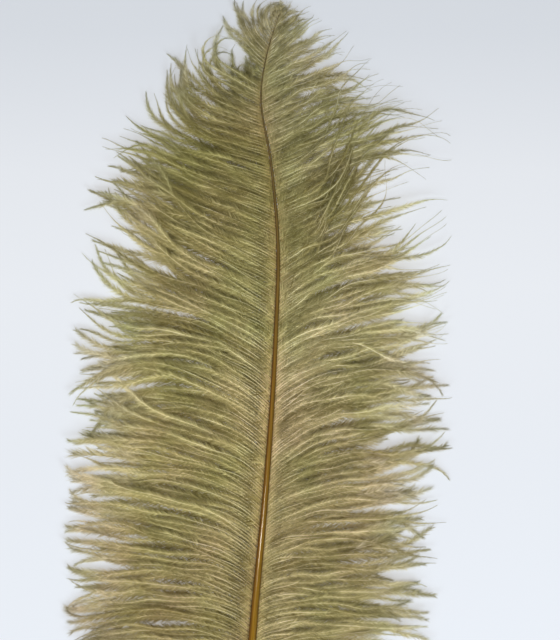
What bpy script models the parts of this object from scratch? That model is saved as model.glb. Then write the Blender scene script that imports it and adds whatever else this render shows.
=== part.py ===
"""A dyed ostrich plume lying on a table, back up: a shaft, and a row of barbs on each side of it.

Metres. +Y runs from the quill end to the tip, +X to the right of the plume, +Z up, and the table is Z = 0.
A place along the plume is its distance down from the tip of the shaft. Each row of barbs is one thin curved
sheet that reaches the barbs' tips: it leaves the shaft's side, falls to the table and lies flat along it.
"""

import bmesh
import bpy
import numpy as np

SHAFT_TIP_Y = 0.289
SHAFT_LENGTH = 0.5875

# Down from the tip, then across to the right, height of the centre line, and width of the shaft.
SHAFT = [
    (0.000, 0.0115, 0.0030, 0.0004),
    (0.022, 0.0046, 0.0055, 0.0007),
    (0.050, 0.0003, 0.0090, 0.0010),
    (0.090, 0.0062, 0.0135, 0.0015),
    (0.140, 0.0106, 0.0180, 0.0021),
    (0.200, 0.0092, 0.0215, 0.0028),
    (0.280, 0.0042, 0.0230, 0.0037),
    (0.380, -0.0048, 0.0205, 0.0051),
    (0.460, -0.0103, 0.0150, 0.0062),
    (0.530, -0.0148, 0.0085, 0.0069),
    (0.570, -0.0170, 0.0046, 0.0066),
    (SHAFT_LENGTH, -0.0179, 0.0017, 0.0034),
]
SHAFT_POINTS = 52
SHAFT_SIDES = 12

# Down from the tip, the barb's length, then its direction in degrees above straight out from the shaft, at
# the root, at 0.3 and 0.65 of its length, and at its tip.
LEFT_BARBS = [
    (0.002, 0.012, 72, 76, 80, 84),
    (0.012, 0.022, 50, 56, 66, 78),
    (0.030, 0.039, 36, 38, 50, 68),
    (0.050, 0.058, 28, 32, 48, 72),
    (0.070, 0.072, 20, 27, 44, 66),
    (0.090, 0.083, 20, 21, 26, 36),
    (0.120, 0.098, 26, 22, 20, 14),
    (0.150, 0.109, 30, 27, 28, 26),
    (0.180, 0.117, 34, 27, 24, 22),
    (0.210, 0.120, 42, 28, 9, 14),
    (0.290, 0.119, 48, 23, 4, 6),
    (0.375, 0.108, 48, 16, -1, -14),
    (0.420, 0.094, 46, 12, -6, -18),
    (0.465, 0.071, 44, 9, -10, -22),
    (0.500, 0.045, 40, 6, -12, -24),
    (0.520, 0.025, 36, 2, -14, -24),
]
RIGHT_BARBS = [
    (0.002, 0.011, 84, 82, 80, 78),
    (0.012, 0.022, 56, 50, 44, 40),
    (0.030, 0.037, 42, 38, 35, 32),
    (0.050, 0.056, 34, 30, 27, 22),
    (0.075, 0.078, 26, 26, 25, 16),
    (0.100, 0.086, 24, 28, 34, 22),
    (0.130, 0.091, 28, 30, 32, 20),
    (0.160, 0.097, 34, 28, 18, 14),
    (0.200, 0.105, 34, 20, 14, 11),
    (0.280, 0.106, 44, 17, 7, 3),
    (0.375, 0.095, 40, 6, 1, -8),
    (0.420, 0.083, 40, 4, -5, -14),
    (0.465, 0.063, 40, 4, -10, -20),
    (0.500, 0.040, 38, 2, -12, -22),
    (0.520, 0.022, 34, 0, -14, -24),
]
BARB_LINES = 68
POINTS_PER_BARB = 10

ROOT_GAP = 0.0004
SHEET_THICKNESS = 0.0030
TIP_THICKNESS = 0.0010
ROOT_TO_SHAFT = 0.6
LANDS_AT = 0.72
NOTCH = 0.15
FURROW = 0.0010


def along(table, down):
    """The table's columns at each distance down from the tip, by a smooth curve through its rows."""
    rows = np.array(table, float)
    at, values = rows[:, 0], rows[:, 1:]
    slopes = np.gradient(values, at, axis=0)
    row = np.clip(np.searchsorted(at, down, side="right") - 1, 0, len(at) - 2)
    step = at[row + 1] - at[row]
    t = ((down - at[row]) / step)[:, None]
    step = step[:, None]
    start = (1 + 2 * t) * (1 - t) ** 2 * values[row] + t * (1 - t) ** 2 * step * slopes[row]
    end = t**2 * (3 - 2 * t) * values[row + 1] + t**2 * (t - 1) * step * slopes[row + 1]
    return start + end


def barb_sheet(barbs, side):
    """The upper and lower points of one row of barbs, as arrays of line, point along the barb, and x y z."""
    down = np.linspace(barbs[0][0], barbs[-1][0], BARB_LINES)
    out = np.linspace(0, 1, POINTS_PER_BARB)
    across, height, width = along(SHAFT, down).T
    columns = along(barbs, down)
    notches = 1 - NOTCH * (np.arange(BARB_LINES) % 2)
    length = columns[:, 0] * notches
    angles = np.radians([np.interp(out, (0, 0.3, 0.65, 1), row) for row in columns[:, 1:]])

    step = length[:, None] / (POINTS_PER_BARB - 1)
    middle = (angles[:, 1:] + angles[:, :-1]) / 2
    start = np.zeros((BARB_LINES, 1))
    x = np.hstack([start, np.cumsum(step * np.cos(middle), axis=1)])
    y = np.hstack([start, np.cumsum(step * np.sin(middle), axis=1)])
    x = across[:, None] + side * (width[:, None] / 2 + ROOT_GAP + x)
    y = SHAFT_TIP_Y - down[:, None] + y

    fall = np.clip(out / LANDS_AT, 0, 1)
    fall = fall**2 * (3 - 2 * fall)
    root = np.minimum(width * ROOT_TO_SHAFT, SHEET_THICKNESS)[:, None]
    body = np.interp(out, (0, 0.2, 0.8, 1), (0, 1, 1, 0))
    edge = np.where(out < 0.5, root, TIP_THICKNESS)
    thickness = edge + (SHEET_THICKNESS - edge) * body
    under = np.maximum(height[:, None] - root / 2, 0) * (1 - fall)
    furrows = FURROW * (1 - notches[:, None]) / NOTCH * np.interp(out, (0.3, 0.7, 1), (0, 1, 0.2))
    return np.stack([x, y, under + thickness - furrows], -1), np.stack([x, y, under], -1)


def coat(name, colour, roughness):
    """A Principled material that isn't metal."""
    material = bpy.data.materials.new(name)
    material.use_nodes = True
    shader = material.node_tree.nodes["Principled BSDF"]
    shader.inputs["Base Color"].default_value = (*colour, 1)
    shader.inputs["Roughness"].default_value = roughness
    shader.inputs["Metallic"].default_value = 0
    material.diffuse_color = (*colour, 1)
    return material


def make_shaft(material):
    """A round bevelled curve whose radius follows the shaft's taper, from the tip to the closed quill end."""
    down = SHAFT_LENGTH * np.linspace(0, 1, SHAFT_POINTS) ** 0.9
    across, height, width = along(SHAFT, down).T
    curve = bpy.data.curves.new("shaft", "CURVE")
    curve.dimensions = "3D"
    curve.bevel_depth = 1
    curve.bevel_resolution = (SHAFT_SIDES - 4) // 2
    curve.use_fill_caps = True
    line = curve.splines.new("POLY")
    line.points.add(SHAFT_POINTS - 1)
    line.use_smooth = True
    for point, x, y, z, wide in zip(line.points, across, SHAFT_TIP_Y - down, height, width):
        point.co = (x, y, max(z, wide / 2), 1)
        point.radius = wide / 2
    curve.materials.append(material)
    shaft = bpy.data.objects.new("shaft", curve)
    bpy.context.scene.collection.objects.link(shaft)


def make_barbs(name, barbs, side, material):
    """A grid laid over the barbs, extruded down to the sheet's underside."""
    upper, lower = barb_sheet(barbs, side)
    shape = bmesh.new()
    grid = bmesh.ops.create_grid(
        shape, x_segments=POINTS_PER_BARB - 1, y_segments=BARB_LINES - 1, size=1
    )["verts"]
    for vert, place in zip(grid, upper.reshape(-1, 3)):
        vert.co = place
    sheet = bmesh.ops.extrude_face_region(shape, geom=shape.faces[:], use_keep_orig=True)["geom"]
    under = [part for part in sheet if isinstance(part, bmesh.types.BMVert)]
    for vert, place in zip(under, lower.reshape(-1, 3)):
        vert.co = place
    bmesh.ops.recalc_face_normals(shape, faces=shape.faces[:])
    mesh = bpy.data.meshes.new(name)
    shape.to_mesh(mesh)
    shape.free()
    mesh.shade_smooth()
    mesh.materials.append(material)
    bpy.context.scene.collection.objects.link(bpy.data.objects.new(name, mesh))


def main():
    for old in list(bpy.data.objects):
        bpy.data.objects.remove(old)
    make_shaft(coat("amber_shaft", (0.24, 0.13, 0.03), 0.3))
    olive = coat("olive_barbs", (0.27, 0.24, 0.11), 0.8)
    make_barbs("left_barbs", LEFT_BARBS, -1, olive)
    make_barbs("right_barbs", RIGHT_BARBS, 1, olive)


main()
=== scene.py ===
# %% [markdown]
# # An ostrich plume, strand by strand
# A plume is a horn-like shaft with a row of long soft barbs on each side, and every barb carries two combs
# of fine barbules that never hook together, which is why ostrich looks like down and not like a sheet. Fur
# could be made with particles or hair curves, but an export drops both. So each strand here is real mesh,
# worked out with numpy as whole arrays: one formula gives the flow of the barbs, and a comb of slim
# triangles along each barb gives the down.
#
# The solid model is loaded first, as a fixed frame.

import bpy
import numpy as np
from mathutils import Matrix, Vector


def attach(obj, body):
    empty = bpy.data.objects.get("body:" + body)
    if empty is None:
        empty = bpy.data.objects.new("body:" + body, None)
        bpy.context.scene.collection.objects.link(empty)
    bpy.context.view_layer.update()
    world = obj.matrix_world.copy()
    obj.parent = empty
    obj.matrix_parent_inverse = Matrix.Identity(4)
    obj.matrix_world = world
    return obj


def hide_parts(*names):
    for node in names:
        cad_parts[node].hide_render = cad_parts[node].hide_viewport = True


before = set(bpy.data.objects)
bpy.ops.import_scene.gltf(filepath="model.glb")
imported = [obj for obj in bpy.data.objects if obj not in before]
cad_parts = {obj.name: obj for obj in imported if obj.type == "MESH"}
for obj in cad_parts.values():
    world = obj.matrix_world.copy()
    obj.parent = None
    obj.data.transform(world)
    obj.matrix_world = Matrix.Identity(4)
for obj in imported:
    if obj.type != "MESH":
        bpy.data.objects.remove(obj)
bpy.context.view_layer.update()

# %% [markdown]
# ## Places along the plume
# Every strand starts on the shaft, so the shaft's line comes first. A place is its distance down from the
# shaft's tip. A few rows hold what was chosen, and a Hermite curve through the rows gives smooth values
# between them: a straight interpolation would put a visible kink in the shaft at each row.

# %% The shaft's line and its smooth reading
SHAFT_TIP_Y = 0.289
SHAFT_LENGTH = 0.5875
# Down from the tip, then across to the right, height of the centre line, and width of the shaft, in metres.
SHAFT_ROWS = [
    (0.000, 0.0115, 0.0030, 0.0004),
    (0.022, 0.0046, 0.0055, 0.0007),
    (0.050, 0.0003, 0.0090, 0.0010),
    (0.090, 0.0062, 0.0135, 0.0015),
    (0.140, 0.0106, 0.0180, 0.0021),
    (0.200, 0.0092, 0.0215, 0.0028),
    (0.280, 0.0042, 0.0230, 0.0037),
    (0.380, -0.0048, 0.0205, 0.0051),
    (0.460, -0.0103, 0.0150, 0.0062),
    (0.530, -0.0148, 0.0085, 0.0069),
    (0.570, -0.0170, 0.0046, 0.0066),
    (SHAFT_LENGTH, -0.0179, 0.0017, 0.0034),
]


def along(rows, down):
    """Each column of rows at every distance down, by cubic Hermite pieces. Slopes are finite differences."""
    table = np.array(rows, float)
    at, values = table[:, 0], table[:, 1:]
    slopes = np.gradient(values, at, axis=0)
    row = np.clip(np.searchsorted(at, down, side="right") - 1, 0, len(at) - 2)
    step = at[row + 1] - at[row]
    t = ((down - at[row]) / step)[:, None]
    step = step[:, None]
    start = (1 + 2 * t) * (1 - t) ** 2 * values[row] + t * (1 - t) ** 2 * step * slopes[row]
    end = t**2 * (3 - 2 * t) * values[row + 1] + t**2 * (t - 1) * step * slopes[row + 1]
    return start + end


def ease(low, high, x):
    """0 up to low, 1 from high on, and the smooth step 3t^2 - 2t^3 between them."""
    t = np.clip((x - low) / (high - low), 0, 1)
    return t * t * (3 - 2 * t)


print("shaft:", SHAFT_LENGTH, "m long, widest", max(row[3] for row in SHAFT_ROWS), "m")

# %% [markdown]
# ## The flow of the barbs
# Barbs leave the shaft slanting towards the tip and then bend over. The rows below give a barb's length and
# its direction, in degrees above straight out, at five places along it. The left row of barbs curls up like
# sickles near the tip, and the right row fans out. A real plume has one row of barbs on each side, many of
# which slip under their neighbours. A second, sparser layer under the main row stands for those, and keeps
# the table from showing between all the barbs.

# %% Flow rows for each side
# Down from the tip, length in metres, then the direction at each of the FLOW_PLACES along the barb.
FLOW_PLACES = (0, 0.13, 0.3, 0.65, 1)
LEFT_FLOW = [
    (0.000, 0.008, 84, 86, 90, 96, 104),
    (0.006, 0.015, 62, 70, 88, 145, 200),
    (0.013, 0.023, 54, 58, 70, 118, 182),
    (0.020, 0.031, 48, 49, 55, 78, 118),
    (0.032, 0.041, 40, 38, 40, 50, 66),
    (0.046, 0.050, 28, 24, 30, 62, 100),
    (0.060, 0.060, 22, 20, 26, 54, 78),
    (0.074, 0.077, 18, 17, 22, 44, 74),
    (0.087, 0.088, 18, 16, 19, 36, 78),
    (0.100, 0.087, 20, 18, 19, 26, 48),
    (0.115, 0.092, 25, 21, 20, 21, 24),
    (0.150, 0.108, 34, 25, 24, 28, 14),
    (0.180, 0.115, 38, 28, 26, 29, 36),
    (0.210, 0.119, 42, 31, 26, 16, 20),
    (0.235, 0.119, 46, 34, 26, 1, 6),
    (0.290, 0.118, 46, 33, 18, 2, 5),
    (0.340, 0.114, 44, 29, 12, 4, -2),
    (0.375, 0.108, 40, 22, 5, -4, -12),
    (0.420, 0.094, 38, 14, 2, -8, -18),
    (0.465, 0.071, 38, 12, 0, -12, -22),
    (0.500, 0.045, 36, 8, -2, -14, -24),
    (0.521, 0.024, 34, 6, -4, -16, -24),
]
RIGHT_FLOW = [
    (0.000, 0.008, 86, 82, 78, 70, 60),
    (0.008, 0.018, 62, 56, 52, 44, 30),
    (0.018, 0.030, 48, 44, 43, 40, 34),
    (0.030, 0.041, 40, 36, 35, 34, 30),
    (0.050, 0.060, 32, 28, 27, 22, 14),
    (0.075, 0.080, 26, 26, 26, 20, 8),
    (0.100, 0.098, 24, 24, 26, 24, 12),
    (0.130, 0.106, 28, 26, 26, 24, 8),
    (0.150, 0.103, 34, 29, 28, 16, 12),
    (0.175, 0.105, 40, 31, 26, 12, 17),
    (0.210, 0.106, 40, 28, 18, 12, 12),
    (0.280, 0.106, 48, 30, 20, 6, 8),
    (0.330, 0.103, 40, 16, 5, 3, 6),
    (0.375, 0.099, 36, 8, -1, -2, -10),
    (0.420, 0.083, 36, 8, -2, -6, -14),
    (0.465, 0.063, 36, 6, -4, -10, -20),
    (0.500, 0.040, 36, 4, -4, -12, -22),
    (0.521, 0.021, 34, 2, -6, -14, -24),
]
# How far down the vane goes, and how far apart the barbs leave the shaft.
VANE_END = 0.521
BARB_SPACING = 0.0019
UNDER_SPACING = 0.0036
print("barbs on each side:", int(VANE_END / BARB_SPACING), "and", int(VANE_END / UNDER_SPACING), "under them")

# %% [markdown]
# ## From flow to strands
# A direction field alone gives a combed, artificial fan. On the real plume each barb sways a little on its
# own, a few neighbours cling together for part of their way, and their bare tips part again and cross. So
# barbs are counted into wide locks and, separately, into narrow ones, and smooth noise is made along them.
# Noise that a whole lock shares keeps its barbs together, and noise of a barb's own lets it cross the
# others.


# %% Locks and sway
def locks(rng, count, fewest, most):
    """Which lock each barb is in, for locks of fewest to most neighbours, and where each lock starts."""
    lock = np.repeat(np.arange(count), rng.integers(fewest, most + 1, count))[:count]
    return lock, np.flatnonzero(np.diff(lock, prepend=-1))


def sway(rng, rows, u, waves):
    """Rows of smooth noise over u, about 1 in size: three sines of random phase, with up to waves turns."""
    turns = rng.uniform(0.2, waves, (3, rows, 1))
    phase = rng.uniform(0, 2 * np.pi, (3, rows, 1))
    return np.sin(2 * np.pi * turns * u + phase).sum(0) * np.sqrt(2 / 3)


# %% [markdown]
# Some stretches of the plume have a habit of their own. On the left near the tip, one lock curls right over
# into a loop, and the barbs just above it are short, so the table shows round the loop. On the right, a
# little lower, slim strands stand steeply on top of the others and cross them. Each habit picks its barbs
# by place and by chance, so that ordinary barbs stay mixed in.


# %% Habits of single stretches
LOOP_FROM = 0.0445
LOOP_TO = 0.0560
STEEP_AT = 0.138
STEEP_SPREAD = 0.034
print("loop", LOOP_FROM, "to", LOOP_TO, "m down, steep strands round", STEEP_AT, "m down")


def habits(side, rng, down):
    """Whether each barb loops, whether it stands steeply, and how much of its length it keeps."""
    count = len(down)
    chance = rng.random(count)
    if side < 0:
        loop = (down > LOOP_FROM) & (down < LOOP_TO) & (chance < 0.8)
        shortened = 0.68 * ease(0.030, 0.034, down) * (1 - ease(0.043, 0.045, down))
        return loop, np.zeros(count, bool), 1 - shortened
    near = np.exp(-(((down - STEEP_AT) / STEEP_SPREAD) ** 2))
    return np.zeros(count, bool), chance < 0.92 * near, np.ones(count)


# %% [markdown]
# In a few places neighbours part for the outer half of their length, and the table shows through the wedge.
# Leaving barbs out would make a slot with straight sides. Turning the two banks away from each other gives
# a wedge that opens slowly, and the barbs beside it crowd together, as they do on the real plume.

# %% Partings
# Down from the tip, where along the barb the wedge opens, and by how many degrees each bank turns away.
LEFT_PARTINGS = [
    (0.190, 0.50, 7),
    (0.212, 0.40, 9),
    (0.228, 0.48, 8),
    (0.304, 0.58, 7),
    (0.320, 0.62, 7),
    (0.336, 0.58, 7),
]
RIGHT_PARTINGS = [
    (0.153, 0.45, 8),
    (0.170, 0.45, 8),
    (0.185, 0.48, 7),
    (0.201, 0.55, 7),
    (0.229, 0.60, 7),
    (0.241, 0.58, 7),
    (0.287, 0.52, 7),
    (0.303, 0.45, 8),
    (0.319, 0.40, 6),
    (0.345, 0.50, 7),
]
PARTING_REACH = 0.007


print("partings:", len(LEFT_PARTINGS), "left and", len(RIGHT_PARTINGS), "right")


def parted(rows, down, u):
    """Degrees that the partings add: barbs above one turn up and barbs below it down, and this fades as
    e to the power of minus the distance over PARTING_REACH.
    """
    turn = np.zeros((len(down), len(u)))
    for at, opens, degrees in rows:
        bank = np.sign(at - down) * np.exp(-np.abs(down - at) / PARTING_REACH)
        turn += degrees * bank[:, None] * ease(opens - 0.2, opens + 0.15, u)
    return turn


# %% [markdown]
# ## The directions of single barbs
# The flow gives every barb its main direction. Sways of ever shorter waves are added, first shared by wide
# locks, then by narrow ones, then each barb's own, and most grow towards the tip, because the root is held
# by the shaft. The last sway is already in full force close to the shaft, where loose barbs start to cross.
# A few strays leave their neighbours. The layer underneath is calmer, so it fills and doesn't tangle.

# %% Sway, bend and stray
# What differs from side to side: partings, and in degrees the bend of single barbs and the sway at the shaft.
PARTINGS = {-1: LEFT_PARTINGS, 1: RIGHT_PARTINGS}
OWN_BEND = {-1: 9, 1: 14}
ROOT_SWAY = {-1: 4.5, 1: 7.5}
STRAY_SHARE = 0.09


def directions(side, angles, down, u, wide, narrow, unrest, rng):
    """The flow's angles plus all turns of locks and single barbs, and which barbs are strays. Each turn is
    its size in degrees, times smooth noise of size 1 or a normal draw, times a smooth step along the barb.
    """
    count = len(down)
    angles = angles + unrest * 2.5 * ease(0.2, 1, u) * sway(rng, count, u, 0.5)[wide]
    angles = angles + unrest * 5.5 * ease(0.2, 1, u) * sway(rng, count, u, 0.9)[narrow]
    angles = angles + unrest * 7.0 * ease(0.02, 0.9, u) * sway(rng, count, u, 1.6)
    bends = rng.normal(0, 11, count)[narrow] + rng.normal(0, OWN_BEND[side], count)
    angles = angles + unrest * bends[:, None] * ease(0.55, 1, u)
    angles = angles + unrest * 6.0 * ease(0.45, 0.9, u) * sway(rng, count, u, 3.5)
    angles = angles + unrest * ROOT_SWAY[side] * ease(0.04, 0.22, u) * sway(rng, count, u, 4.5)
    stray = rng.random(count) < STRAY_SHARE * unrest
    angles = angles + (stray * rng.normal(0, 13, count))[:, None] * ease(0.2, 0.7, u)
    return angles + parted(PARTINGS[side], down, u), stray


# %% [markdown]
# The loop's barbs ignore the flow: they leave at a fixed angle and turn evenly over their outer half, which
# draws an arc of a circle. The steep strands follow the flow until they bend up, each at its own place.

# %% Loop and steep strands
LOOP_START = 30
LOOP_TURN = 186
LOOP_LENGTH = 0.0590


def with_habits(angles, loop, steep, u, rng):
    """Looping barbs turn in a straight line of angle over the outer half. Steep ones rise by 32 to 56 degrees
    with a smooth step, and ease back a little at their ends.
    """
    count = len(angles)
    curl = LOOP_START + LOOP_TURN * np.clip((u - 0.52) / 0.47, 0, 1) + rng.normal(0, 2.5, count)[:, None]
    angles = np.where(loop[:, None], curl, angles)
    bend_at = rng.uniform(0.05, 0.32, count)[:, None]
    rise = (32 + 24 * rng.random(count))[:, None] * ease(bend_at, bend_at + 0.2, u)
    rise = rise * (1 - 0.4 * ease(0.75, 1, u))
    return angles + steep[:, None] * rise


# %% [markdown]
# ## From directions to lines
# A line is walked: it starts on the side of the shaft and adds one short step after another in its
# direction. Its height fades from the shaft's to the table's, so the row of barbs falls like a roof and
# then lies flat.

# %% Middle lines
AXIS_POINTS = 33
ROOT_SHARE = 0.34
LANDS_AT = 0.72
LYING_HEIGHT = 0.0014


def middle_lines(side, down, u, angles, length):
    """The root plus the running sum of steps of equal length, each along the mean of the directions at its
    two ends. The height goes by a smooth step from the shaft's to LYING_HEIGHT, reached at LANDS_AT.
    """
    step = length[:, None] / (AXIS_POINTS - 1)
    middle = (angles[:, 1:] + angles[:, :-1]) / 2
    across, height, width = along(SHAFT_ROWS, down).T
    start = np.zeros((len(down), 1))
    x = np.hstack([start, np.cumsum(step * np.cos(middle), axis=1)])
    y = np.hstack([start, np.cumsum(step * np.sin(middle), axis=1)])
    x = across[:, None] + side * (ROOT_SHARE * width[:, None] + x)
    y = SHAFT_TIP_Y - down[:, None] + y
    fall = ease(0, LANDS_AT, u)
    z = height[:, None] * (1 - fall) + LYING_HEIGHT * fall
    return np.stack([x, y, z], -1)


# %% [markdown]
# Barbs of a narrow lock cling to each other somewhere in their outer half, because their barbules tangle,
# and part again towards the tip. Drawing each line towards the lock's mean line by a bell curve gives just
# that.


# %% Cling
def clung(lines, narrow, first, loose, most_cling, u, rng):
    """Each line plus its pull times the way to its lock's mean line. The pull is a bell curve along the barb,
    as strong as the lock clings, and weaker in height. Loose barbs keep a tenth of it.
    """
    count = len(lines)
    sizes = np.diff(first, append=count)
    centre = (np.add.reduceat(lines, first, axis=0) / sizes[:, None, None])[narrow]
    cling = rng.uniform(0.0, most_cling, count)[narrow] * np.where(loose, 0.1, 1)
    meets = rng.uniform(0.55, 0.95, count)[narrow][:, None]
    hold = np.exp(-(((u - meets) / 0.28) ** 2))
    pull = (cling[:, None] * hold)[..., None] * np.array([1, 1, 0.2])
    return lines + pull * (centre - lines)


# %% [markdown]
# ## All barbs of one side
# Now the steps are put together. Locks lie at different heights, which lets each one shade the next, and
# the loop and the steep strands lie on top. Each barb also gets values of its own for later: its tone,
# where its bare end starts, how far its down hangs at the root, and how slim its down is.

# %% Grow one side
# Where bare ends start near the tip of the plume, and how much further out they start lower down.
BARE_FROM = {-1: 0.69, 1: 0.56}
BARE_LATER = {-1: 0.09, 1: 0.22}
STEEP_BARE_FROM = 0.60
# Past WIDE_FROM from the middle a barb is squeezed, and never gets more than WIDE_SPARE beyond it.
WIDE_FROM = 0.110
WIDE_SPARE = 0.012
LOWEST = 0.0008


def grow_side(side, flow, spacing, reach, most_cling, sink, root_hang, unrest, seed):
    """One side's middle lines, as an array of barb, point and x y z, with each barb's own values.

    Lengths are the flow's, times reach and a factor for each wide lock and each barb. Heights are the fall to
    the table plus each lock's lift, less sink, which lowers the layer underneath.
    """
    rng = np.random.default_rng(seed)
    count = int(VANE_END / spacing)
    down = np.linspace(0.0005, VANE_END, count) + rng.normal(0, 0.10 * spacing, count)
    down = np.sort(np.clip(down, 0, VANE_END))
    wide, _ = locks(rng, count, 6, 12)
    narrow, first = locks(rng, count, 2, 5)
    u = np.linspace(0, 1, AXIS_POINTS)

    columns = along(flow, down)
    angles = np.array([np.interp(u, FLOW_PLACES, row) for row in columns[:, 1:]])
    angles, stray = directions(side, angles, down, u, wide, narrow, unrest, rng)
    loop, steep, kept = habits(side, rng, down)
    steep = steep & (sink == 0)
    angles = np.radians(with_habits(angles, loop, steep, u, rng))

    length = np.where(loop, LOOP_LENGTH + 0.5 * (down - LOOP_FROM), columns[:, 0])
    if sink > 0:
        kept = kept * (0.55 + 0.45 * ease(0.09, 0.14, down))
    length = kept * reach * length * rng.uniform(0.94, 1.05, count)[wide]
    length = length * rng.uniform(0.86, 1.06, count)
    lines = middle_lines(side, down, u, angles, length)

    lift = rng.uniform(0, 0.0030, count)[wide] + rng.uniform(0, 0.0026, count)[narrow]
    lift = (lift + rng.normal(0, 0.0004, count)) * (0.45 + 0.55 * ease(0.03, 0.12, down))
    lines[..., 2] += lift[:, None] * ease(0.10, 0.6, u) * (1 - 0.5 * ease(0.8, 1, u))
    lines[..., 2] += 0.0028 * (steep | loop)[:, None] * ease(0.12, 0.3, u)
    lines = clung(lines, narrow, first, stray | steep | loop, most_cling, u, rng)
    lines[..., 2] += 0.0008 * sway(rng, count, u, 3) * ease(0.05, 0.4, u)
    lines[..., 2] = np.maximum(lines[..., 2] - sink * ease(0.02, 0.2, u), LOWEST)
    over = np.maximum(np.abs(lines[..., 0]) - WIDE_FROM, 0)
    lines[..., 0] -= np.sign(lines[..., 0]) * (over - WIDE_SPARE * (1 - np.exp(-over / WIDE_SPARE)))

    tone = 0.52 * rng.normal(0, 1, count) + 0.32 * rng.normal(0, 1, count)[narrow]
    tone = tone + 0.26 * rng.normal(0, 1, count)[wide]
    bare_from = BARE_FROM[side] + BARE_LATER[side] * ease(0.12, 0.30, down)
    bare_from = np.where(steep, STEEP_BARE_FROM, bare_from) + rng.uniform(-0.10, 0.12, count)
    return {
        "lines": lines,
        "down": down,
        "tone": tone * (0.6 + 0.4 * ease(0.05, 0.12, down)) - 1.3 * steep,
        "bare_from": bare_from,
        "root_hang": root_hang * (0.4 + 0.6 * ease(0.10, 0.24, down)),
        "slim": 0.55 * steep + 0.5 * loop,
    }


# %% [markdown]
# The main rows are dense and lively. On the left the down hangs steeply at the root, so that side is darker
# beside the shaft, partly by its own shade and partly by painted shade on its combs. The layers underneath
# are sparse and calm, lie 2.2 mm lower, and their tone is lowered as painted shade from the rows above them.

# %% Grow the four sets of barbs
MAIN_ROW = {"spacing": BARB_SPACING, "sink": 0, "unrest": 1.0}
UNDER_ROW = {"spacing": UNDER_SPACING, "sink": 0.0022, "unrest": 0.25, "most_cling": 0.1, "root_hang": 10}
left = grow_side(-1, LEFT_FLOW, reach=1.11, most_cling=0.45, root_hang=56, seed=11, **MAIN_ROW)
right = grow_side(1, RIGHT_FLOW, reach=1.07, most_cling=0.60, root_hang=18, seed=23, **MAIN_ROW)
left_under = grow_side(-1, LEFT_FLOW, reach=0.97, seed=31, **UNDER_ROW)
right_under = grow_side(1, RIGHT_FLOW, reach=0.82, seed=43, **UNDER_ROW)
# Painted shade: the layers underneath are darkened in tone for the rows that shade them.
for under in (left_under, right_under):
    under["tone"] = 0.5 * under["tone"] - 0.5
print("grown:", len(left["down"]), "left and", len(right["down"]), "right barbs")

# %% [markdown]
# ## From strands to mesh
# Everything that rides on a line needs to know which way is forward, sideways and up along it, and its
# points at places other than those of the line itself. Both work on all lines at once.


# %% Frames along lines
def unit(vectors):
    """Each vector over its own length."""
    return vectors / np.maximum(np.linalg.norm(vectors, axis=-1, keepdims=True), 1e-12)


def resample(lines, share):
    """Points at the given shares of each line, by straight interpolation between its own points."""
    place = share * (lines.shape[1] - 1)
    low = np.minimum(place.astype(int), lines.shape[1] - 2)
    part = (place - low)[None, :, None]
    return lines[:, low] * (1 - part) + lines[:, low + 1] * part


def frame_on(lines):
    """Forward, sideways and upward unit vectors at each point of each line."""
    forward = unit(np.gradient(lines, axis=1))
    sideways = unit(np.cross(forward, np.array([0, 0, 1.0])))
    return forward, sideways, np.cross(sideways, forward)


# %% [markdown]
# A barb is a slim rod with a comb of barbules on each side. Single triangles do for the barbules: the base
# lies on the rod and the point reaches out and forward. The bases of neighbours overlap and share their
# points, so a whole comb costs little more than one point for each barbule. The combs hang down on both
# sides like a roof, which lets light pick out the rod as a bright ridge. Barbules are short and stand out
# widely at the root, are longest past the middle, and dwindle along the bare end.


# %% The size of the down along a barb
def down_size(own, reach, bare, share):
    """Reach, less where the down hangs at the root, less along the bare end and a little more in the outer
    half. It is also less near the plume's tip, at the very root, and on slim strands.
    """
    hanging = own["root_hang"][:, None] / 140 * (1 - ease(0.05, 0.22, share))
    size = reach * (1 - hanging) * (1 - 0.80 * bare) * (1 + 0.18 * ease(0.4, 0.7, share))
    size = size * (0.72 + 0.28 * ease(0, 0.07, own["down"][:, None])) * (0.5 + 0.5 * ease(0, 0.02, share))
    return size * (1 - own["slim"][:, None] * ease(0.15, 0.35, share))


# %% [markdown]
# Two kinds of unevenness keep the down from looking machined. Noise that is smooth along the barb lets
# whole stretches of it lean, clump and roll over together, and a random draw for each barbule frays the
# edge.


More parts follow.
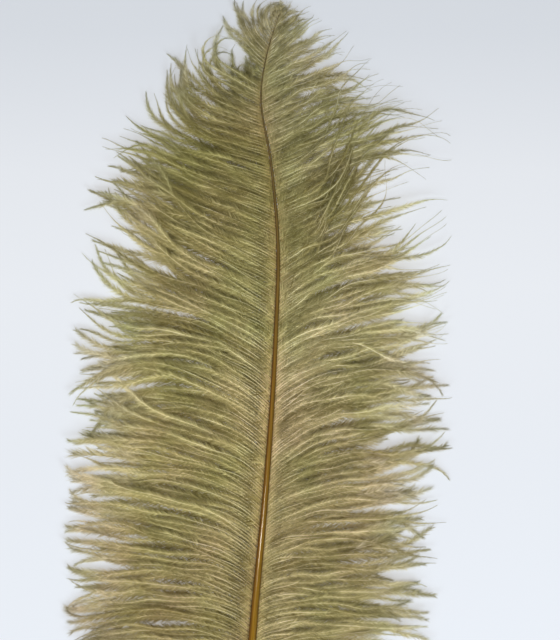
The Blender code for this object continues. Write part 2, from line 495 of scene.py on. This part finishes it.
# %% Combs of many barbs at once
def comb(lines, own, barbules, reach, rng):
    """Points, triangles and map places of the barbules. Barbule i stands on points i and i + 3 of the barb.
    Its tip is at middle + size * (cos a * forward + sin a * (cos d * sideways - sin d * up)), where a is its
    angle to the barb and d how far it hangs. Both vary a little from one to the next.
    """
    count = len(lines)
    share = np.linspace(0.004, 1, barbules)
    base = resample(lines, share)
    forward, sideways, up = frame_on(base)
    mid, forward, sideways, up = (a[:, 1:-2] for a in (base, forward, sideways, up))
    share_mid = share[1:-2]
    shape = (count, barbules - 3)
    first = np.arange(count)[:, None] * barbules + np.arange(barbules - 3)
    bare_from, root_hang = own["bare_from"][:, None], own["root_hang"][:, None]
    bare = ease(bare_from, bare_from + 0.32, share_mid)
    size_along = down_size(own, reach, bare, share_mid)
    twist = 0.3 * sway(rng, count, share_mid, 1.5)
    clumps = 0.04 * sway(rng, count, share_mid, 30)
    fluff = np.radians(root_hang + (18 - root_hang) * ease(0, 0.35, share_mid))
    fluff = fluff + 0.38 * sway(rng, count, share_mid, 2.5) * ease(0, 0.08, share_mid)
    lean_along = 34 + 36 * (1 - ease(0, 0.07, share_mid)) - 7 * ease(0.35, 0.75, share_mid)
    fray = 0.48 - 0.26 * ease(0.3, 0.7, share_mid)
    points, faces, places, across, flecks = [base], [], [], [], []
    for hand in (-1, 1):
        lean = np.radians(lean_along) + rng.normal(0, 0.13, shape) + clumps
        lean = lean * (1 - 0.64 * bare)
        hang = fluff + (rng.normal(0, 0.38, shape) + hand * twist) * ease(0, 0.08, share_mid)
        size = size_along * (0.88 + fray * rng.uniform(-1, 1, shape))
        lean, hang, size = lean[..., None], hang[..., None], size[..., None]
        out = hand * np.cos(hang) * sideways - np.sin(hang) * up
        tips = mid + size * (np.cos(lean) * forward + np.sin(lean) * out)
        tips[..., 2] = np.maximum(tips[..., 2], 0.0002)
        tip = count * barbules + (len(points) - 1) * first.size + np.arange(first.size).reshape(shape)
        points.append(tips)
        ends = (first + 3, first) if hand > 0 else (first, first + 3)
        faces.append(np.stack([*ends, tip], -1).reshape(-1, 3))
        ends = (share[3:], share[:-3], share_mid) if hand > 0 else (share[:-3], share[3:], share_mid)
        places.append(np.broadcast_to(np.stack(ends, -1), (*shape, 3)).reshape(-1, 3))
        across.append(np.broadcast_to(hand * np.array([0.05, 0.05, 0.36]), (first.size, 3)))
        fleck = 0.55 * rng.normal(0, 1, shape) + 0.7 * sway(rng, count, share_mid, 60)
        flecks.append(fleck.reshape(-1))
    barb = np.tile(np.repeat(np.arange(count), barbules - 3), 2)
    points = np.concatenate([p.reshape(-1, 3) for p in points])
    faces, places, across, flecks = (np.concatenate(a) for a in (faces, places, across, flecks))
    return points, faces, places, across, barb, flecks


# %% [markdown]
# The rod itself is thinner than a millimetre, so three sides are enough, with smooth shading over them.

# %% Rods of many barbs at once
ROD_ROOT = 0.00028
ROD_TIP = 0.00006


def rods(lines, thick, thin, rng):
    """A three-sided rod round each line, whose radius goes evenly from thick to thin, closed at both ends."""
    count, long = lines.shape[:2]
    share = np.linspace(0, 1, long)
    _, sideways, up = frame_on(lines)
    radius = (thick + (thin - thick) * share)[None, :, None]
    turns = np.radians([90, 210, 330])
    rings = np.stack([lines + radius * (np.cos(t) * sideways + np.sin(t) * up) for t in turns], 2)
    index = np.arange(count * long * 3).reshape(count, long, 3)
    a, b = index[:, :-1], index[:, 1:]
    a2, b2 = np.roll(a, -1, 2), np.roll(b, -1, 2)
    walls = [np.stack([a, a2, b2], -1).reshape(-1, 3), np.stack([a, b2, b], -1).reshape(-1, 3)]
    faces = np.concatenate([*walls, index[:, 0, ::-1], index[:, -1]])
    point_place = np.broadcast_to(share[None, :, None], index.shape).reshape(-1)
    point_across = np.broadcast_to(np.array([0.40, 0.44, 0.48]), index.shape).reshape(-1)
    barb = np.broadcast_to(np.arange(count)[:, None, None], index.shape).reshape(-1)
    barb = barb[faces[:, 0]]
    # Each rod's tone is raised by 0.8, which makes rods paler, partly as painted sheen on them.
    fleck = 0.8 + 0.9 * np.repeat(sway(rng, count, share, 8), 3, axis=1).reshape(-1)[faces[:, 0]]
    return rings.reshape(-1, 3), faces, point_place[faces], point_across[faces], barb, fleck


# %% [markdown]
# ## Strands into one mesh
# Each barb gets a row of its own in the UV map: U runs along the barb, and V is the row, with the two combs
# just above and below its middle. A bake then keeps every barb's own tone, and the material can shade from
# root to tip by U alone. Three values are kept in the mesh for the material: each barb's tone with the flecks
# of its barbules, whether a face is rod, and how far out a corner is towards the barbule tips, which the
# material darkens as painted shade.


# %% Numbers kept in a mesh
def keep(mesh, name, domain, values):
    """Values put into the mesh under name, one for each face, corner or point, as domain says."""
    values = np.asarray(values, np.float32).ravel()
    mesh.attributes.new(name, "FLOAT", domain).data.foreach_set("value", values)


# %% [markdown]
# The mesh is filled with foreach_set, which takes whole arrays. A list of faces would take far longer, with
# a million of them.


# %% One piece from the chosen barbs
def strand_piece(name, grown, chosen, barbules, reach, rod_points, seed):
    """One mesh from the chosen barbs. A painted shade value is kept for each corner: 0 at the rod and 1 at a
    barbule's tip, less along the outer half and near the plume's tip, and more where the down hangs at the
    root.
    """
    rng = np.random.default_rng(seed)
    lines = grown["lines"][chosen]
    own = {key: grown[key][chosen] for key in ("down", "bare_from", "root_hang", "slim")}
    combs = comb(lines, own, barbules, reach, rng)
    parts = [combs, rods(resample(lines, np.linspace(0, 1, rod_points)), ROD_ROOT, ROD_TIP, rng)]
    offset = len(parts[0][0])
    points = np.concatenate([p[0] for p in parts])
    faces = np.concatenate([parts[0][1], parts[1][1] + offset])
    places, across, barb, fleck = (np.concatenate([p[i] for p in parts]) for i in (2, 3, 4, 5))
    mesh = bpy.data.meshes.new(name)
    mesh.vertices.add(len(points))
    mesh.vertices.foreach_set("co", points.astype(np.float32).ravel())
    mesh.loops.add(faces.size)
    mesh.loops.foreach_set("vertex_index", faces.astype(np.int32).ravel())
    mesh.polygons.add(len(faces))
    mesh.polygons.foreach_set("loop_start", np.arange(0, faces.size, 3, dtype=np.int32))
    mesh.update(calc_edges=True)
    rows = (barb[:, None] + 0.5 + across) / len(lines)
    uv = np.stack([0.01 + 0.98 * places, rows], -1)
    mesh.uv_layers.new(name="OFBake").uv.foreach_set("vector", uv.astype(np.float32).ravel())
    keep(mesh, "tone", "FACE", grown["tone"][chosen][barb] + fleck)
    is_rod = np.repeat([0, 1], [len(parts[0][1]), len(parts[1][1])])
    keep(mesh, "rod", "FACE", is_rod)
    # Painted shade: a corner's value grows towards the barbule tips, and more where the down hangs at the
    # root.
    painted_edge_shade = np.clip((np.abs(across) - 0.05) / 0.31, 0, 1) * (1 - is_rod[:, None])
    hanging = own["root_hang"][barb][:, None] / 34 * (1 - ease(0.04, 0.16, places))
    painted_edge_shade = painted_edge_shade * (1 - 0.8 * ease(0.4, 0.85, places)) * (1 + hanging)
    painted_edge_shade = painted_edge_shade * (0.65 + 0.35 * ease(0.03, 0.10, own["down"]))[barb][:, None]
    keep(mesh, "painted_edge_shade", "CORNER", painted_edge_shade)
    mesh.shade_smooth()
    piece = bpy.data.objects.new(name, mesh)
    bpy.context.scene.collection.objects.link(piece)
    print(f"{name}: {len(lines)} barbs, {len(faces)} triangles")
    return piece


# %% [markdown]
# Each side is made as five pieces from tip to base and one for the layer underneath, which keeps every mesh
# to a moderate size. Longer barbs get more barbules, so the down is about as dense everywhere.

# %% All pieces of barbs
REGIONS = {
    "tip": (0, 0.08, 390),
    "upper": (0.08, 0.2, 690),
    "middle": (0.2, 0.32, 770),
    "lower": (0.32, 0.43, 680),
    "base": (0.43, 0.53, 380),
}
BARBULE_REACH = 0.0050
UNDER_BARBULES = 325
UNDER_REACH = 0.0082
UNDER_ROD_POINTS = 13
barb_pieces = []
for side_name, grown, seed in (("left", left, 100), ("right", right, 200)):
    for number, (region, (near, far, barbules)) in enumerate(REGIONS.items()):
        chosen = np.flatnonzero((grown["down"] >= near) & (grown["down"] < far))
        name = f"{side_name}_barbs_{region}"
        piece = strand_piece(name, grown, chosen, barbules, BARBULE_REACH, AXIS_POINTS, seed + number)
        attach(piece, "root")
        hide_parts(f"{side_name}_barbs")
        barb_pieces.append(piece)
for side_name, grown, seed in (("left", left_under, 300), ("right", right_under, 400)):
    chosen = np.flatnonzero(grown["down"] > 0.02)
    name = f"{side_name}_barbs_under"
    piece = strand_piece(name, grown, chosen, UNDER_BARBULES, UNDER_REACH, UNDER_ROD_POINTS, seed)
    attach(piece, "root")
    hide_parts(f"{side_name}_barbs")
    barb_pieces.append(piece)

# %% [markdown]
# ## The shaft
# The quill end is a round tube of horn. Higher up the shaft turns squarer, with a smooth rounded back and a
# groove along its belly. A bevelled curve would stay round all the way, so the profile is carried along the
# line by formula instead.

# %% Shaft surface
SHAFT_RINGS = 200
SHAFT_SIDES = 36
GROOVE_DEPTH = 0.34
GROOVE_DEGREES = 22.0
# The surface's width as a share of the solid's.
SHAFT_SHARE = 0.97


def shaft_surface():
    """Rings of a superellipse whose power goes from 2, a circle, at the quill to 2.3 above. The groove takes
    a bell-shaped bite of GROOVE_DEPTH from the radius at the belly.
    """
    down = SHAFT_LENGTH * np.linspace(0, 1, SHAFT_RINGS) ** 0.9
    across, height, width = along(SHAFT_ROWS, down).T
    line = np.stack([across, SHAFT_TIP_Y - down, np.maximum(height, width / 2)], -1)[None]
    _, sideways, up = (v[0] for v in frame_on(line))
    line = line[0]
    turn = np.linspace(0, 2 * np.pi, SHAFT_SIDES, endpoint=False)
    quill = ease(0.50, 0.545, down)[:, None]
    power = 2.0 + 0.3 * (1 - quill)
    c, s = np.cos(turn), np.sin(turn)
    radius = (np.abs(c) ** power + np.abs(s) ** power) ** (-1 / power)
    groove = GROOVE_DEPTH * (1 - quill) * np.exp(-((np.degrees(turn) - 270) / GROOVE_DEGREES) ** 2)
    radius = radius * (1 - groove) * width[:, None] / 2 * SHAFT_SHARE
    wide = (radius * c)[..., None] * -sideways[:, None]
    tall = (radius * s)[..., None] * up[:, None]
    return line[:, None] + wide + tall, down


rings, ring_down = shaft_surface()
print("shaft:", len(rings), "rings of", SHAFT_SIDES, "points")

# %% [markdown]
# The rings become a closed tube. Two values are kept in it for the finish: the share of the way down, and
# how far each point faces to one side.


# %% Shaft mesh
def tube_piece(name, rings):
    """A closed mesh from rings of points: quads between rings and a fan of triangles on each end."""
    count, sides = rings.shape[:2]
    index = np.arange(count * sides).reshape(count, sides)
    a, b = index[:-1], index[1:]
    quads = np.stack([a, b, np.roll(b, -1, 1), np.roll(a, -1, 1)], -1).reshape(-1, 4)
    ends = rings[[0, -1]].mean(1)
    points = np.concatenate([rings.reshape(-1, 3), ends])
    tip, foot = count * sides, count * sides + 1
    near, far = index[0], index[-1]
    fans = [(tip, i, j) for i, j in zip(near, np.roll(near, -1))]
    fans += [(foot, j, i) for i, j in zip(far, np.roll(far, -1))]
    mesh = bpy.data.meshes.new(name)
    mesh.from_pydata(points.tolist(), [], quads.tolist() + [tuple(int(k) for k in f) for f in fans])
    mesh.shade_smooth()
    piece = bpy.data.objects.new(name, mesh)
    bpy.context.scene.collection.objects.link(piece)
    return piece


shaft = tube_piece("shaft_surface", rings)
share_down = np.append(np.repeat(ring_down, SHAFT_SIDES), [0, SHAFT_LENGTH]) / SHAFT_LENGTH
keep(shaft.data, "down", "POINT", share_down)
turn_side = np.cos(np.linspace(0, 2 * np.pi, SHAFT_SIDES, endpoint=False))
keep(shaft.data, "side", "POINT", np.append(np.tile(turn_side, SHAFT_RINGS), [0, 0]))
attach(shaft, "root")
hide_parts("shaft")
barb_triangles = sum(len(piece.data.polygons) for piece in barb_pieces)
print("shaft faces:", len(shaft.data.polygons))
print("triangles in all, at most:", barb_triangles + 2 * len(shaft.data.polygons))


# %% [markdown]
# ## Finishes
# A finish is a tree of nodes. Most colours here are made the same way, as ramps multiplied together, so a
# few short helpers keep the trees readable.


# %% A little help for node trees
def new_material(name):
    """An empty Principled material, as its tree and its shader."""
    material = bpy.data.materials.new(name)
    material.use_nodes = True
    return material, material.node_tree, material.node_tree.nodes["Principled BSDF"]


def add(tree, kind, **values):
    """A node with its properties and inputs set by name. An input's name has its spaces as underscores."""
    node = tree.nodes.new(kind)
    for key, value in values.items():
        socket = node.inputs.get(key.replace("_", " "))
        if socket is not None:
            socket.default_value = value
        else:
            setattr(node, key, value)
    return node


def attribute(tree, name):
    """The value that a mesh keeps under name."""
    node = tree.nodes.new("ShaderNodeAttribute")
    node.attribute_name = name
    return node.outputs["Fac"]


# %% [markdown]
# Three more helpers do the arithmetic of colours: a ramp turns a number into a colour, a mix multiplies or
# blends two colours, and a map range moves a number from one range to another.


# %% Ramps and mixes
def ramp(tree, factor, stops):
    """A colour ramp fed by factor, with a stop for each place and colour."""
    node = tree.nodes.new("ShaderNodeValToRGB")
    elements = node.color_ramp.elements
    for place, colour in stops[2:]:
        elements.new(place)
    for element, (place, colour) in zip(elements, stops):
        element.position = place
        element.color = (*colour, 1)
    tree.links.new(factor, node.inputs["Fac"])
    return node.outputs["Color"]


def blended(tree, way, amount, a, b):
    """Colour a mixed with b in the named way. amount, a and b may be sockets or values."""
    node = tree.nodes.new("ShaderNodeMix")
    node.data_type = "RGBA"
    node.blend_type = way
    for number, value in ((0, amount), (6, a), (7, b)):
        if isinstance(value, bpy.types.NodeSocket):
            tree.links.new(value, node.inputs[number])
        else:
            node.inputs[number].default_value = value
    return node.outputs[2]


def remapped(tree, value, low, high, to_low, to_high):
    """value moved in a straight line from one range to another."""
    node = tree.nodes.new("ShaderNodeMapRange")
    for number, bound in enumerate((low, high, to_low, to_high), 1):
        node.inputs[number].default_value = bound
    tree.links.new(value, node.inputs[0])
    return node.outputs[0]


# %% [markdown]
# The barbs are dyed down: matt, browner at the root and paler where they thin out at the tip, with a lighter
# rod, whose paler colour is partly its own and partly painted sheen along it. Both change along the barb, and
# U of the UV map is the place along it.


# %% Colours along a barb
def barb_colours(tree):
    """Two ramps over U, one for down and one for rod, and the rod value of a face says which it takes."""
    uv = add(tree, "ShaderNodeUVMap", uv_map="OFBake")
    on_barb = tree.nodes.new("ShaderNodeSeparateXYZ")
    tree.links.new(uv.outputs[0], on_barb.inputs[0])
    down = ramp(
        tree,
        on_barb.outputs["X"],
        [
            (0.00, (0.380, 0.250, 0.095)),
            (0.03, (0.520, 0.430, 0.190)),
            (0.12, (0.570, 0.490, 0.230)),
            (0.60, (0.545, 0.472, 0.225)),
            (0.85, (0.580, 0.525, 0.340)),
            (1.00, (0.420, 0.405, 0.310)),
        ],
    )
    # The rod's ramp is paler than the down's, partly as painted sheen on the rod.
    rod = ramp(
        tree,
        on_barb.outputs["X"],
        [
            (0.00, (0.480, 0.310, 0.120)),
            (0.10, (0.720, 0.640, 0.390)),
            (0.70, (0.720, 0.660, 0.460)),
            (1.00, (0.380, 0.365, 0.250)),
        ],
    )
    return blended(tree, "MIX", attribute(tree, "rod"), down, rod)


# %% [markdown]
# Dye takes unevenly, so large soft patches and each barb's own tone vary it: a dark barb is more olive, a
# light one greyer. The shade that down casts on itself is painted: the combs are darker towards their tips
# than at the rod, most of all where they hang close to the shaft, and the rod is brightened a little. Each
# side also has its own slow change of strength from base to tip. Thin down lets light through, which a share
# of translucent shader gives.


# %% Dyed down
def barb_finish(name, by_height):
    """Colour along the barb, times dye patches, height on the plume, the barb's own tone and painted shade
    towards the barbule tips.
    """
    material, tree, shader = new_material(name)
    colour = barb_colours(tree)
    place = tree.nodes.new("ShaderNodeTexCoord").outputs["Object"]
    patches = add(tree, "ShaderNodeTexNoise", Scale=22.0, Detail=3.0, Roughness=0.55)
    tree.links.new(place, patches.inputs["Vector"])
    dye = ramp(tree, patches.outputs["Fac"], [(0.35, (0.90, 0.935, 0.76)), (0.65, (1.06, 1.01, 1.00))])
    colour = blended(tree, "MULTIPLY", 1.0, colour, dye)
    on_plume = tree.nodes.new("ShaderNodeSeparateXYZ")
    tree.links.new(place, on_plume.inputs[0])
    height = remapped(tree, on_plume.outputs["Y"], -0.10, 0.28, 0.0, 1.0)
    colour = blended(tree, "MULTIPLY", 1.0, colour, ramp(tree, height, by_height))
    own = remapped(tree, attribute(tree, "tone"), -2.5, 2.5, 0.0, 1.0)
    own = ramp(tree, own, [(0.0, (0.55, 0.51, 0.34)), (0.5, (1.0, 1.0, 1.0)), (1.0, (1.46, 1.52, 1.86))])
    colour = blended(tree, "MULTIPLY", 1.0, colour, own)
    # Painted shade: the rod is brightened to 1.14 and the barbule tips darkened down to 0.20.
    shade = remapped(tree, attribute(tree, "painted_edge_shade"), 0.0, 2.0, 1.14, 0.20)
    colour = blended(tree, "MULTIPLY", 1.0, colour, shade)
    tree.links.new(colour, shader.inputs["Base Color"])
    shader.inputs["Roughness"].default_value = 0.62
    shader.inputs["Specular IOR Level"].default_value = 0.3
    shader.inputs["Sheen Weight"].default_value = 0.12
    shader.inputs["Sheen Roughness"].default_value = 0.4
    through = tree.nodes.new("ShaderNodeBsdfTranslucent")
    tree.links.new(colour, through.inputs["Color"])
    both = add(tree, "ShaderNodeMixShader", Fac=0.2)
    tree.links.new(shader.outputs[0], both.inputs[1])
    tree.links.new(through.outputs[0], both.inputs[2])
    tree.links.new(both.outputs[0], tree.nodes["Material Output"].inputs["Surface"])
    return material


# %% [markdown]
# Each side gets a finish of its own, with a ramp from the base of the vane to its tip that multiplies its
# colour: the right side is paler and bluer around its middle, and the left one darker and yellower a little
# below the tip.

# %% Finishes of the two sides
LEFT_BY_HEIGHT = [
    (0.00, (0.97, 0.92, 0.89)),
    (0.12, (0.97, 0.92, 0.89)),
    (0.32, (1.15, 1.16, 1.10)),
    (0.50, (1.07, 1.11, 1.04)),
    (0.68, (0.95, 0.96, 0.82)),
    (0.82, (0.81, 0.81, 0.63)),
    (1.00, (0.92, 0.99, 1.10)),
]
RIGHT_BY_HEIGHT = [
    (0.00, (0.97, 0.98, 0.94)),
    (0.12, (0.97, 0.98, 0.94)),
    (0.32, (1.10, 1.09, 1.15)),
    (0.50, (1.20, 1.25, 1.37)),
    (0.68, (1.16, 1.23, 1.28)),
    (0.82, (0.96, 1.01, 1.02)),
    (1.00, (0.92, 0.99, 1.10)),
]
left_finish = barb_finish("dyed_down_painted_shade_left", LEFT_BY_HEIGHT)
right_finish = barb_finish("dyed_down_painted_shade_right", RIGHT_BY_HEIGHT)
for piece in barb_pieces:
    piece.data.materials.append(left_finish if piece.name.startswith("left") else right_finish)
print("finishes on barbs:", left_finish.name, "and", right_finish.name)


# %% [markdown]
# The shaft is dyed horn: amber and glossy, darker where it is thin, with painted shade along both sides where
# it turns away and a painted highlight in a band a little left of its middle. Fine streaks run along it, as
# in real horn. They are noise stretched lengthwise, and shade the colour and lift the surface a little.


# %% Dyed horn
def shaft_finish():
    """Amber horn, paler and clearer at the quill, olive at the tip, with fine lengthwise streaks, and painted
    shade and highlight across it.
    """
    material, tree, shader = new_material("dyed_horn_painted_light")
    colour = ramp(
        tree,
        attribute(tree, "down"),
        [
            (0.00, (0.150, 0.125, 0.045)),
            (0.22, (0.150, 0.095, 0.020)),
            (0.38, (0.190, 0.097, 0.009)),
            (0.66, (0.215, 0.108, 0.004)),
            (0.90, (0.420, 0.260, 0.070)),
            (1.00, (0.500, 0.380, 0.180)),
        ],
    )
    # Painted shade and highlight across the shaft: darker on both sides where it turns away, brightest and
    # bluish-pale in a band a little left of its middle.
    painted_side_light = remapped(tree, attribute(tree, "side"), -1.0, 1.0, 0.0, 1.0)
    painted_side_light = ramp(
        tree,
        painted_side_light,
        [
            (0.00, (0.40, 0.32, 0.50)),
            (0.20, (0.85, 0.70, 1.00)),
            (0.42, (1.30, 1.32, 1.60)),
            (0.70, (1.00, 1.05, 1.10)),
            (0.90, (0.65, 0.66, 0.50)),
            (1.00, (0.40, 0.40, 0.30)),
        ],
    )
    colour = blended(tree, "MULTIPLY", 1.0, colour, painted_side_light)
    place = tree.nodes.new("ShaderNodeTexCoord").outputs["Object"]
    stretch = add(tree, "ShaderNodeMapping", Scale=(1400.0, 30.0, 1400.0))
    tree.links.new(place, stretch.inputs["Vector"])
    streaks = add(tree, "ShaderNodeTexNoise", Scale=1.0, Detail=3.0)
    tree.links.new(stretch.outputs[0], streaks.inputs["Vector"])
    shade = remapped(tree, streaks.outputs["Fac"], 0.3, 0.7, 0.75, 1.2)
    colour = blended(tree, "MULTIPLY", 1.0, colour, shade)
    tree.links.new(colour, shader.inputs["Base Color"])
    shader.inputs["Roughness"].default_value = 0.13
    shader.inputs["Specular IOR Level"].default_value = 0.28
    bump = add(tree, "ShaderNodeBump", Strength=0.05, Distance=0.0001)
    tree.links.new(streaks.outputs["Fac"], bump.inputs["Height"])
    tree.links.new(bump.outputs[0], shader.inputs["Normal"])
    return material


shaft.data.materials.append(shaft_finish())
print("finish on shaft:", shaft.data.materials[0].name)

# %% [markdown]
# ## Table
# The plume lies on a plain pale table. So bright a table scatters light up through thin down, which a plane
# that only reflects does too weakly. So it also has a painted glow of its own, which lifts and warms the
# shadows on it, and the glow is a little less towards the tip end, as painted falloff of light.

# %% Floor
bpy.ops.mesh.primitive_plane_add(size=6)
floor = bpy.context.object
floor.name = "floor"
floor_material, floor_tree, floor_shader = new_material("pale_table_painted_glow")
# The base colour is bluish so that the warm painted glow shows in the table's shadows, while its lit parts
# come out neutral.
floor_shader.inputs["Base Color"].default_value = (0.425, 0.490, 0.575, 1)
floor_place = add(floor_tree, "ShaderNodeSeparateXYZ")
floor_tree.links.new(floor_tree.nodes.new("ShaderNodeTexCoord").outputs["Object"], floor_place.inputs[0])
# Painted falloff of light: the glow is strongest near the middle of the view, weaker towards the tip end and
# a little towards the quill end.
far = remapped(floor_tree, floor_place.outputs["Y"], -0.15, 0.36, 0.0, 1.0)
painted_glow = ramp(
    floor_tree,
    far,
    [
        (0.00, (0.96, 0.898, 0.830)),
        (0.33, (1.00, 0.935, 0.865)),
        (0.53, (1.08, 1.010, 0.934)),
        (0.67, (1.05, 0.982, 0.908)),
        (0.84, (0.84, 0.795, 0.745)),
        (1.00, (0.80, 0.758, 0.712)),
    ],
)
floor_tree.links.new(painted_glow, floor_shader.inputs["Emission Color"])
floor_shader.inputs["Emission Strength"].default_value = 0.40
floor_shader.inputs["Roughness"].default_value = 0.9
floor.data.materials.append(floor_material)
print("table:", floor_material.name)

# %% [markdown]
# ## Lights
# A small lamp overhead, a little to the left, models every rod and lock. Two broad ones stand lower, on the
# right and on the left of the quill end, and soften its shadows. The room fills the rest with a pale cool
# light.


# %% Lights
def softbox(name, place, aim, size, power, colour):
    """A square area light at place, turned to face aim."""
    data = bpy.data.lights.new(name, "AREA")
    data.size, data.energy, data.color = size, power, colour
    lamp = bpy.data.objects.new(name, data)
    lamp.location = place
    toward = np.array(aim) - np.array(place)
    lamp.rotation_euler = Vector(toward).to_track_quat("-Z", "Y").to_euler()
    bpy.context.scene.collection.objects.link(lamp)


softbox("window", (-0.24, -0.18, 1.3), (-0.01, -0.03, 0), 0.12, 4.5, (1.0, 0.96, 0.90))
softbox("right", (0.72, -0.78, 0.8), (0.1, 0.0, 0), 0.6, 9.0, (0.99, 0.995, 1.0))
softbox("left", (-0.74, -0.86, 0.8), (0, 0.0, 0), 0.6, 6.5, (0.96, 0.98, 1.0))
world = bpy.data.worlds.new("room")
bpy.context.scene.world = world
world.use_nodes = True
world.node_tree.nodes["Background"].inputs["Color"].default_value = (0.90, 0.94, 1.0, 1)
world.node_tree.nodes["Background"].inputs["Strength"].default_value = 0.27
print("lamps:", len(bpy.data.lights))

# %% [markdown]
# ## Camera
# The camera looks straight down, with the plume's base outside the view. From VIEW_HEIGHT, which is how
# much of the plume the view takes in from top to bottom, the lens follows by similar triangles.

# %% Camera
camera_data = bpy.data.cameras.new("camera")
camera = bpy.data.objects.new("camera", camera_data)
bpy.context.scene.collection.objects.link(camera)
VIEW_CENTRE = (0.0119, 0.1011)
VIEW_HEIGHT = 0.3904
CAMERA_HEIGHT = 1.2
PLUME_MIDDLE = 0.012
SENSOR = 36.0
camera_data.sensor_width = SENSOR
camera_data.lens = SENSOR * (CAMERA_HEIGHT - PLUME_MIDDLE) / VIEW_HEIGHT
camera.location = (*VIEW_CENTRE, CAMERA_HEIGHT)
bpy.context.scene.camera = camera
bpy.context.scene.view_settings.view_transform = "Standard"
print("lens:", round(camera_data.lens, 1), "mm")
